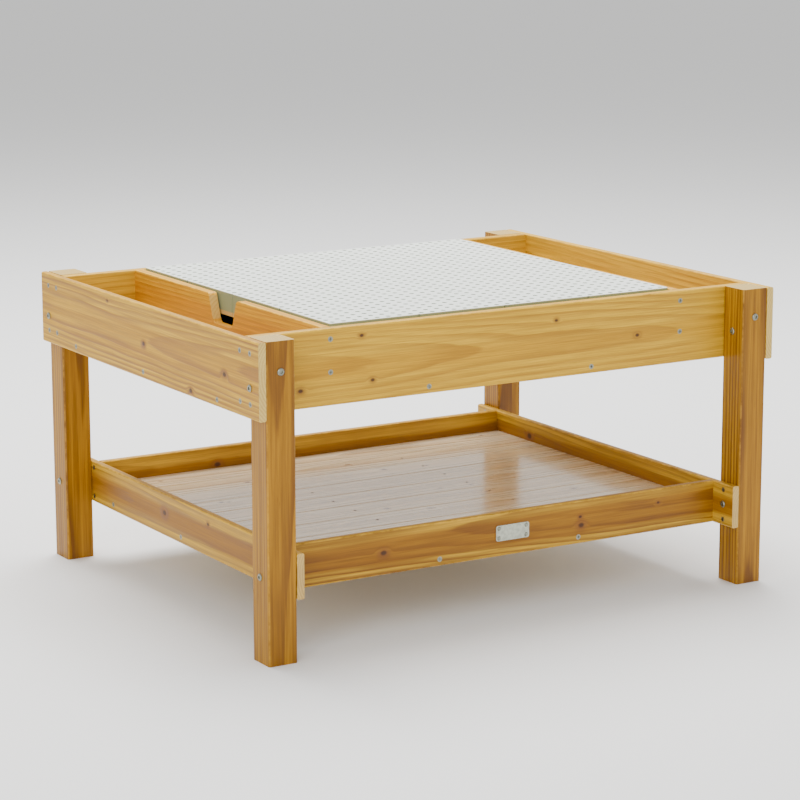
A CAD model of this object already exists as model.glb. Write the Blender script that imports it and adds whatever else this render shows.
"""Looks of the sand and water play table: its timber, plastic and metal, a soft light and the camera.

Every object is in metres in the CAD's frame: +X along the table, +Y to its back, +Z up, and the
ground at z = 0. The CAD nodes keep their shapes; this script gives them their materials.
"""

import math
import random

import bpy
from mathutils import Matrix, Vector


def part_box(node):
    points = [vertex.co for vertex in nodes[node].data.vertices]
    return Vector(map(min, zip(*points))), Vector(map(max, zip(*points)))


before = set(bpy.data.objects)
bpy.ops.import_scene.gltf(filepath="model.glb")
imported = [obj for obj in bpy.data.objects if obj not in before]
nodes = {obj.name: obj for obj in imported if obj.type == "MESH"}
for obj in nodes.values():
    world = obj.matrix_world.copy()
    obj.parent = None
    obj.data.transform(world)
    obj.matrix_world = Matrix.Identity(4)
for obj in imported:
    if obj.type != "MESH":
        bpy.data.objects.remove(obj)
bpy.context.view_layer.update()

X, Y, Z = 0, 1, 2
MM = 0.001


# ---------------------------------------------------------------- node trees


class Tree:
    """A material's node tree, with short calls for the nodes that the materials share."""

    def __init__(self, name):
        self.material = bpy.data.materials.new(name)
        self.material.use_nodes = True
        self.nodes = self.material.node_tree.nodes
        self.links = self.material.node_tree.links
        self.nodes.clear()
        self.shader = self.nodes.new("ShaderNodeBsdfPrincipled")
        output = self.nodes.new("ShaderNodeOutputMaterial")
        self.links.new(self.shader.outputs[0], output.inputs["Surface"])

    def feed(self, socket, value):
        """Links value to socket if it is an output, and otherwise sets it there."""
        if isinstance(value, bpy.types.NodeSocket):
            self.links.new(value, socket)
        elif value is not None:
            socket.default_value = value

    def math(self, operation, a, b=None, c=None, clamp=False):
        node = self.nodes.new("ShaderNodeMath")
        node.operation = operation
        node.use_clamp = clamp
        for socket, value in zip(node.inputs, (a, b, c)):
            self.feed(socket, value)
        return node.outputs[0]

    def vector(self, operation, a, b=None):
        node = self.nodes.new("ShaderNodeVectorMath")
        node.operation = operation
        self.feed(node.inputs[0], a)
        self.feed(node.inputs[1], b)
        return node.outputs[1] if operation in ("LENGTH", "DOT_PRODUCT") else node.outputs[0]

    def separate(self, vector):
        node = self.nodes.new("ShaderNodeSeparateXYZ")
        self.feed(node.inputs[0], vector)
        return list(node.outputs)

    def combine(self, x, y, z):
        node = self.nodes.new("ShaderNodeCombineXYZ")
        for socket, value in zip(node.inputs, (x, y, z)):
            self.feed(socket, value)
        return node.outputs[0]

    def noise(self, vector, scale=1.0, detail=2.0, roughness=0.5, distortion=0.0):
        node = self.nodes.new("ShaderNodeTexNoise")
        self.feed(node.inputs["Vector"], vector)
        node.inputs["Scale"].default_value = scale
        node.inputs["Detail"].default_value = detail
        node.inputs["Roughness"].default_value = roughness
        node.inputs["Distortion"].default_value = distortion
        return node.outputs[0]

    def steps(self, value, low, high, to_low=0.0, to_high=1.0):
        """Goes smoothly from to_low to to_high as value goes from low to high."""
        node = self.nodes.new("ShaderNodeMapRange")
        node.interpolation_type = "SMOOTHSTEP"
        for socket, number in zip(node.inputs, (value, low, high, to_low, to_high)):
            self.feed(socket, number)
        return node.outputs[0]

    def mix(self, factor, a, b, blend="MIX"):
        node = self.nodes.new("ShaderNodeMix")
        node.data_type = "RGBA"
        node.blend_type = blend
        self.feed(node.inputs["Factor"], factor)
        for name, value in (("A", a), ("B", b)):
            socket = next(s for s in node.inputs if s.name == name and s.type == "RGBA")
            self.feed(socket, (*value, 1.0) if isinstance(value, tuple) and len(value) == 3 else value)
        return next(s for s in node.outputs if s.type == "RGBA")

    def bump(self, height, strength, distance, normal=None):
        node = self.nodes.new("ShaderNodeBump")
        node.inputs["Strength"].default_value = strength
        node.inputs["Distance"].default_value = distance
        self.feed(node.inputs["Height"], height)
        self.feed(node.inputs["Normal"], normal)
        return node.outputs[0]

    def place(self, output="Object"):
        return self.nodes.new("ShaderNodeTexCoord").outputs[output]


def paint(name, material):
    """Gives the CAD node or piece one material."""
    mesh = nodes[name].data if isinstance(name, str) else name.data
    mesh.materials.clear()
    mesh.materials.append(material)


# ---------------------------------------------------------------- timber

# Palettes: sapwood, heartwood, the dark line of a growth ring, and the end grain, in linear colour
APRON = ((0.74, 0.44, 0.020), (0.66, 0.36, 0.010), (0.36, 0.155, 0.003), (0.74, 0.58, 0.20))
POST = ((0.51, 0.250, 0.0), (0.42, 0.188, 0.0), (0.15, 0.050, 0.0), (0.72, 0.52, 0.16))
DIVIDER = ((0.84, 0.46, 0.010), (0.68, 0.31, 0.003), (0.44, 0.16, 0.001), (0.76, 0.54, 0.16))
SHELF = ((0.70, 0.41, 0.022), (0.36, 0.155, 0.004), (0.20, 0.070, 0.001), (0.70, 0.50, 0.18))
PLANK = ((0.95, 0.84, 0.60), (0.84, 0.68, 0.44), (0.36, 0.22, 0.10), (0.66, 0.54, 0.34))
BATTEN = ((0.64, 0.39, 0.05), (0.48, 0.25, 0.020), (0.32, 0.14, 0.010), (0.66, 0.48, 0.20))
KNOT_DARK = (0.055, 0.020, 0.006)
KNOT_RED = (0.21, 0.070, 0.016)


def timber(name, axes, palette, seed, knots=(), ring=3.6, pith=55.0, heart=0.3, gloss=0.50, contrast=1.0,
           sway=0.012, coat=0.0):
    """A solid timber for the CAD node called name.

    axes are the directions of the piece's length, width and thickness. knots are (along, across,
    radius): the first two as parts of the half length and half width, and the radius in millimetres.
    ring is the growth rings' spacing and pith the distance of the tree's middle, in millimetres.
    heart is the half width of the dark heartwood band as a part of the half width. sway is how far
    slow noise bends the rings, in metres. coat is the weight of the varnish over the wood.
    """
    rng = random.Random(seed)
    sap, core, late, end = palette
    low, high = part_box(name)
    middle, half = (low + high) / 2, (high - low) / 2
    tree = Tree("timber_" + name)
    xyz = tree.separate(tree.place())
    along, across, through = [tree.math("SUBTRACT", xyz[a], middle[a]) for a in axes]
    spot = tree.combine(along, across, through)
    drift = tuple(rng.uniform(-9, 9) for _ in range(3))
    moved = tree.vector("ADD", spot, drift)

    # Growth rings round a pith line that leans a little, bent by slow noise and by the knots
    lean = (rng.uniform(-0.015, 0.015), rng.uniform(0.006, 0.018) * rng.choice((-1, 1)))
    pith_across = tree.math("MULTIPLY_ADD", along, lean[0], rng.uniform(-0.012, 0.012))
    pith_through = tree.math("MULTIPLY_ADD", along, lean[1], pith * MM)
    slow = tree.noise(tree.vector("MULTIPLY", moved, (2.2, 9.0, 9.0)), detail=2.0)
    to_pith = tree.combine(0.0, tree.math("SUBTRACT", across, pith_across),
                           tree.math("SUBTRACT", through, pith_through))
    radius = tree.math("MULTIPLY_ADD", slow, sway, tree.vector("LENGTH", to_pith))
    waver = tree.noise(tree.vector("MULTIPLY", moved, (10.0, 160.0, 160.0)), detail=2.0)
    radius = tree.math("MULTIPLY_ADD", waver, 0.0012, radius)

    dark, red = 0.0, 0.0
    for part_along, part_across, size in knots:
        centre = (part_along * half[axes[0]], part_across * half[axes[1]], 0.0)
        off = tree.vector("MULTIPLY", tree.vector("SUBTRACT", spot, centre), (0.72, 1.0, 0.0))
        wobble = tree.math("MULTIPLY_ADD", waver, size * MM * 0.5, tree.vector("LENGTH", off))
        push = tree.steps(wobble, 0.0, size * MM * 4.0, size * MM * 0.9, 0.0)
        radius = tree.math("ADD", radius, push)
        spoke = tree.steps(wobble, size * MM * 0.75, size * MM * 1.55, 1.0, 0.0)
        dark = tree.math("MAXIMUM", dark, spoke)
        halo = tree.steps(wobble, size * MM * 1.1, size * MM * 3.2, 1.0, 0.0)
        red = tree.math("MAXIMUM", red, halo)

    turn = tree.math("FRACT", tree.math("MULTIPLY", radius, 1.0 / (ring * MM)))
    rise = tree.steps(turn, 0.25, 0.86)
    fall = tree.steps(turn, 0.90, 1.0, 1.0, 0.0)
    lines = tree.math("MULTIPLY", rise, fall)
    patch = tree.noise(tree.vector("MULTIPLY", moved, (3.0, 22.0, 22.0)), detail=3.0, roughness=0.6)
    lines = tree.math("MULTIPLY", lines, tree.steps(patch, 0.25, 0.7, 0.35, 1.0))

    # Fibres: long thin streaks, and short dark resin flecks
    fibres = tree.noise(tree.vector("MULTIPLY", moved, (14.0, 900.0, 900.0)), detail=3.0, roughness=0.65)
    streaks = tree.noise(tree.vector("MULTIPLY", moved, (5.0, 210.0, 210.0)), detail=3.0, roughness=0.6)
    flecks = tree.noise(tree.vector("MULTIPLY", moved, (45.0, 620.0, 620.0)), detail=1.0)
    flecks = tree.steps(flecks, 0.70, 0.78)
    mottle = tree.noise(tree.vector("MULTIPLY", moved, (4.0, 13.0, 13.0)), detail=3.0, roughness=0.6)

    # The heartwood runs along the piece as a band with a wavy edge
    off_band = tree.math("ABSOLUTE", tree.math("SUBTRACT", across, rng.uniform(-0.2, 0.1) * half[axes[1]]))
    wave = tree.noise(tree.vector("MULTIPLY", moved, (3.5, 4.0, 4.0)), detail=2.0)
    edge = tree.math("MULTIPLY_ADD", wave, half[axes[1]] * 0.55, off_band)
    reach = half[axes[1]] * (heart + 0.28)
    band = tree.steps(edge, reach - 0.004, reach + 0.004, 1.0, 0.0)

    colour = tree.mix(band, sap, core)
    colour = tree.mix(tree.steps(mottle, 0.32, 0.72, 0.0, 0.45), colour, core)
    colour = tree.mix(tree.math("MULTIPLY", lines, 0.62 * contrast), colour, late)
    colour = tree.mix(tree.steps(streaks, 0.30, 0.75, 0.0, 0.42 * contrast), colour, late)
    light = tree.mix(tree.steps(fibres, 0.30, 0.72), (0.80, 0.78, 0.76), (1.10, 1.10, 1.12))
    colour = tree.mix(1.0, colour, light, "MULTIPLY")
    colour = tree.mix(tree.math("MULTIPLY", flecks, 0.35), colour, late)
    if knots:
        colour = tree.mix(tree.math("MULTIPLY", red, 0.55), colour, KNOT_RED)
        colour = tree.mix(tree.math("MULTIPLY", dark, 0.92), colour, KNOT_DARK)

    # End grain is paler. Handled edges are worn lighter, and a varnished plank's edges are dark seams
    facing = tree.separate(tree.place("Normal"))[axes[0]]
    is_end = tree.steps(tree.math("ABSOLUTE", facing), 0.80, 0.95)
    pores = tree.noise(tree.vector("MULTIPLY", moved, (1.0, 1500.0, 1500.0)), detail=2.0)
    pale = tree.mix(tree.steps(pores, 0.3, 0.7, 0.0, 0.35), end, late)
    pale = tree.mix(tree.math("MULTIPLY", lines, 0.4), pale, late)
    colour = tree.mix(tree.math("MULTIPLY", is_end, 0.85), colour, pale)
    near_w = tree.steps(tree.math("ABSOLUTE", across), half[axes[1]] - 0.0028, half[axes[1]] - 0.0004)
    near_t = tree.steps(tree.math("ABSOLUTE", through), half[axes[2]] - 0.0028, half[axes[2]] - 0.0004)
    scuffs = tree.noise(tree.vector("MULTIPLY", moved, (60.0, 60.0, 60.0)), detail=4.0, roughness=0.7)
    rim = near_w if coat else tree.math("MULTIPLY", near_w, near_t)
    wear = tree.math("MULTIPLY", rim, tree.steps(scuffs, 0.35, 0.65, 0.7 if coat else 0.0, 1.0))
    worn = late if coat else tuple(min(1.0, 1.25 * c + 0.03) for c in sap)
    colour = tree.mix(tree.math("MULTIPLY", wear, 0.6), colour, worn)
    tree.feed(tree.shader.inputs["Base Color"], colour)

    rough = tree.math("MULTIPLY_ADD", fibres, 0.22, gloss - 0.11)
    rough = tree.math("MULTIPLY_ADD", lines, -0.10, rough)
    tree.feed(tree.shader.inputs["Roughness"], rough)
    tree.shader.inputs["Specular IOR Level"].default_value = 0.30
    tree.shader.inputs["Coat Weight"].default_value = coat
    tree.shader.inputs["Coat Roughness"].default_value = 0.16
    tree.shader.inputs["Coat IOR"].default_value = 1.9
    relief = tree.math("MULTIPLY_ADD", lines, 0.6, tree.math("MULTIPLY", fibres, 0.7))
    relief = tree.math("MULTIPLY_ADD", dark, 0.6, relief)
    tree.feed(tree.shader.inputs["Normal"], tree.bump(relief, 0.55, 0.0005))
    paint(name, tree.material)


# ---------------------------------------------------------------- other materials


def moulded_plastic(name, colour, gloss, bleached, top):
    """Moulded plastic: a fine grained surface, faint flow marks and scuffs on what is handled.

    Its upper face, at the height top, is bleached by the sun, and the recesses in it are not.
    """
    tree = Tree(name)
    spot = tree.place()
    cloud = tree.noise(spot, scale=14.0, detail=3.0)
    grain = tree.noise(spot, scale=2600.0, detail=2.0)
    scuff = tree.noise(tree.vector("MULTIPLY", spot, (90.0, 260.0, 120.0)), detail=4.0, roughness=0.75)
    darker, lighter, scuffed = [tuple(k * c + more for c in colour) for k, more in ((0.93, 0), (1.05, 0), (1.3, 0.05))]
    shade = tree.mix(tree.steps(cloud, 0.3, 0.7), darker, lighter)
    shade = tree.mix(tree.steps(scuff, 0.62, 0.80, 0.0, 0.30), shade, scuffed)
    height = tree.separate(spot)[Z]
    shade = tree.mix(tree.steps(height, top - 0.9 * MM, top - 0.2 * MM), shade, bleached)
    tree.feed(tree.shader.inputs["Base Color"], shade)
    rough = tree.math("MULTIPLY_ADD", scuff, 0.22, gloss - 0.10)
    tree.feed(tree.shader.inputs["Roughness"], rough)
    tree.shader.inputs["IOR"].default_value = 1.5
    tree.feed(tree.shader.inputs["Normal"], tree.bump(grain, 0.12, 0.0002))
    return tree.material


def plated_metal(name, colour, gloss, brushed=(900.0, 900.0, 900.0)):
    """Plated or brushed metal, dulled in patches."""
    tree = Tree(name)
    spot = tree.place()
    lines = tree.noise(tree.vector("MULTIPLY", spot, brushed), detail=3.0, roughness=0.7)
    patch = tree.noise(spot, scale=240.0, detail=3.0)
    shade = tree.mix(tree.steps(patch, 0.35, 0.7), colour, tuple(0.78 * c for c in colour))
    tree.feed(tree.shader.inputs["Base Color"], shade)
    tree.shader.inputs["Metallic"].default_value = 1.0
    rough = tree.math("MULTIPLY_ADD", lines, 0.22, gloss - 0.10)
    tree.feed(tree.shader.inputs["Roughness"], tree.math("MULTIPLY_ADD", patch, 0.12, rough))
    tree.feed(tree.shader.inputs["Normal"], tree.bump(lines, 0.15, 0.0001))
    return tree.material


# ---------------------------------------------------------------- what each node is made of

LENGTHWISE = (X, Z, Y)
CROSSWISE = (Y, Z, X)
UPRIGHT = (Z, X, Y)
FLAT = (X, Y, Z)

for number, name in enumerate(("post_front_left", "post_front_right", "post_back_left", "post_back_right")):
    timber(name, UPRIGHT, POST, 11 + number, ring=5.5, pith=34.0, heart=0.9, contrast=1.6)

timber("box_end_board_left", CROSSWISE, APRON, 21, heart=0.45, pith=60.0, contrast=1.8,
       knots=((0.33, 0.80, 1.8), (-0.01, -0.04, 3.0), (-0.72, -0.09, 3.4), (-0.43, -0.83, 3.2)))
timber("box_end_board_right", CROSSWISE, APRON, 22, heart=0.3, knots=((0.4, 0.2, 3.0), (-0.5, -0.3, 2.6)))
timber("box_side_board_front", LENGTHWISE, APRON, 23, heart=0.2, pith=70.0,
       knots=((-0.586, 0.73, 2.2), (-0.545, -0.46, 2.2), (-0.815, -0.53, 2.6), (0.18, 0.55, 2.0),
              (0.52, -0.1, 2.4)))
timber("box_side_board_back", LENGTHWISE, APRON, 24, heart=0.25, knots=((-0.6, 0.2, 2.8), (0.3, -0.3, 3.0)))
timber("divider_left", CROSSWISE, DIVIDER, 25, ring=4.2, pith=26.0, heart=0.5, knots=((-0.55, -0.05, 5.0),))
timber("divider_right", CROSSWISE, DIVIDER, 26, ring=4.2, pith=30.0, heart=0.5, knots=((0.45, 0.1, 4.0),))
timber("shelf_end_board_left", CROSSWISE, SHELF, 31, heart=0.5, knots=((0.15, 0.1, 4.0), (-0.25, 0.5, 2.4)))
timber("shelf_end_board_right", CROSSWISE, SHELF, 32, heart=0.5, knots=((0.55, 0.2, 4.0), (-0.5, -0.2, 2.4)))
timber("shelf_side_board_front", LENGTHWISE, SHELF, 33, heart=0.60, contrast=1.6,
       knots=((-0.58, 0.0, 3.4), (0.34, -0.15, 3.4), (0.335, 0.25, 2.0), (0.72, 0.35, 1.8)))
timber("shelf_side_board_back", LENGTHWISE, SHELF, 34, heart=0.5, knots=((-0.45, 0.1, 3.6), (0.42, -0.5, 2.2)))

for number in range(1, 10):
    rng = random.Random(400 + number)
    for floor in ("box_plank_", "shelf_plank_"):
        spots = [(rng.uniform(-0.95, 0.95), rng.uniform(-0.6, 0.6), rng.uniform(1.4, 2.4)) for _ in range(2)]
        timber(floor + str(number), FLAT, PLANK, 60 + number + (20 if floor[0] == "s" else 0), knots=spots,
               ring=4.5, heart=0.4, gloss=0.30, contrast=0.7, coat=1.0)

for number, name in enumerate(("box_cleat_left", "box_cleat_right", "box_batten_left", "box_batten_right",
                               "shelf_cleat_left", "shelf_cleat_right", "shelf_batten_left", "shelf_batten_right",
                               "deck_bearer")):
    timber(name, (Y, X, Z), BATTEN, 110 + number, heart=0.2)
for number, name in enumerate(("deck_ledge_front", "deck_ledge_back")):
    timber(name, (X, Y, Z), BATTEN, 130 + number, heart=0.2)
for number, corner in enumerate(("front_left", "front_right", "back_left", "back_right")):
    timber("frame_under_" + corner, (X, Y, Z), BATTEN, 140 + number, ring=2.2, heart=0.1, contrast=0.5)

TRAY_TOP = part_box("tray_front_left")[1].z
TRAY_PLASTIC = moulded_plastic("sage_plastic", (0.26, 0.31, 0.18), 0.30, (0.90, 0.94, 0.87), TRAY_TOP)
for name in ("tray_front_left", "tray_front_right", "tray_back_left", "tray_back_right"):
    paint(name, TRAY_PLASTIC)

ZINC = plated_metal("zinc_plate", (0.32, 0.33, 0.27), 0.32)
for name in ("end_frame_bolts", "side_frame_bolts", "sleeve_nuts", "board_screws", "cleat_screws",
             "nameplate_screws"):
    paint(name, ZINC)
BRONZED = plated_metal("bronzed_steel", (0.22, 0.16, 0.10), 0.45)
for name in ("box_plank_screws", "shelf_plank_screws"):
    paint(name, BRONZED)
paint("nameplate", plated_metal("brushed_plate", (0.46, 0.48, 0.40), 0.24, (60.0, 60.0, 2400.0)))


# ---------------------------------------------------------------- floor, light and camera


def ground():
    """A plain pale floor, far larger than the view."""
    mesh = bpy.data.meshes.new("ground")
    size = 30.0
    mesh.from_pydata([(-size, -size, 0), (size, -size, 0), (size, size, 0), (-size, size, 0)], [], [(0, 1, 2, 3)])
    floor = bpy.data.objects.new("ground", mesh)
    bpy.context.scene.collection.objects.link(floor)
    tree = Tree("ground")
    tree.shader.inputs["Base Color"].default_value = (0.86, 0.86, 0.85, 1.0)
    tree.shader.inputs["Roughness"].default_value = 0.9
    paint(floor, tree.material)


def soft_light(name, place, target, size, power, colour=(1.0, 1.0, 1.0)):
    """A square area light at place, facing target."""
    light = bpy.data.lights.new(name, "AREA")
    light.size = size
    light.energy = power
    light.color = colour
    lamp = bpy.data.objects.new(name, light)
    lamp.location = place
    lamp.rotation_euler = (Vector(target) - Vector(place)).to_track_quat("-Z", "Y").to_euler()
    bpy.context.scene.collection.objects.link(lamp)


def sky(colour, strength):
    world = bpy.data.worlds.new("studio")
    world.use_nodes = True
    background = world.node_tree.nodes["Background"]
    background.inputs["Color"].default_value = (*colour, 1.0)
    background.inputs["Strength"].default_value = strength
    bpy.context.scene.world = world


def camera():
    """The camera: its place, its direction as turns from +Y and below the horizon, and its lens."""
    data = bpy.data.cameras.new("camera")
    data.sensor_width = 36.0
    data.lens = 123.04
    data.clip_end = 60.0
    seen = bpy.data.objects.new("camera", data)
    seen.location = (-1.8789, -3.1068, 0.9919)
    turn, dip, roll = math.radians(31.162), math.radians(11.791), math.radians(0.084)
    seen.rotation_euler = (math.pi / 2 - dip, roll, -turn)
    bpy.context.scene.collection.objects.link(seen)
    bpy.context.scene.camera = seen


ground()
sky((1.0, 1.0, 1.0), 0.9)
middle = (0.0, 0.0, 0.25)
soft_light("overhead", (0.3, 1.2, 3.2), middle, 2.6, 250.0)
soft_light("front_left", (-2.6, -2.6, 2.0), middle, 2.2, 62.0, (1.0, 0.98, 0.95))
soft_light("right", (3.0, -0.6, 1.8), middle, 2.0, 18.0)
camera()
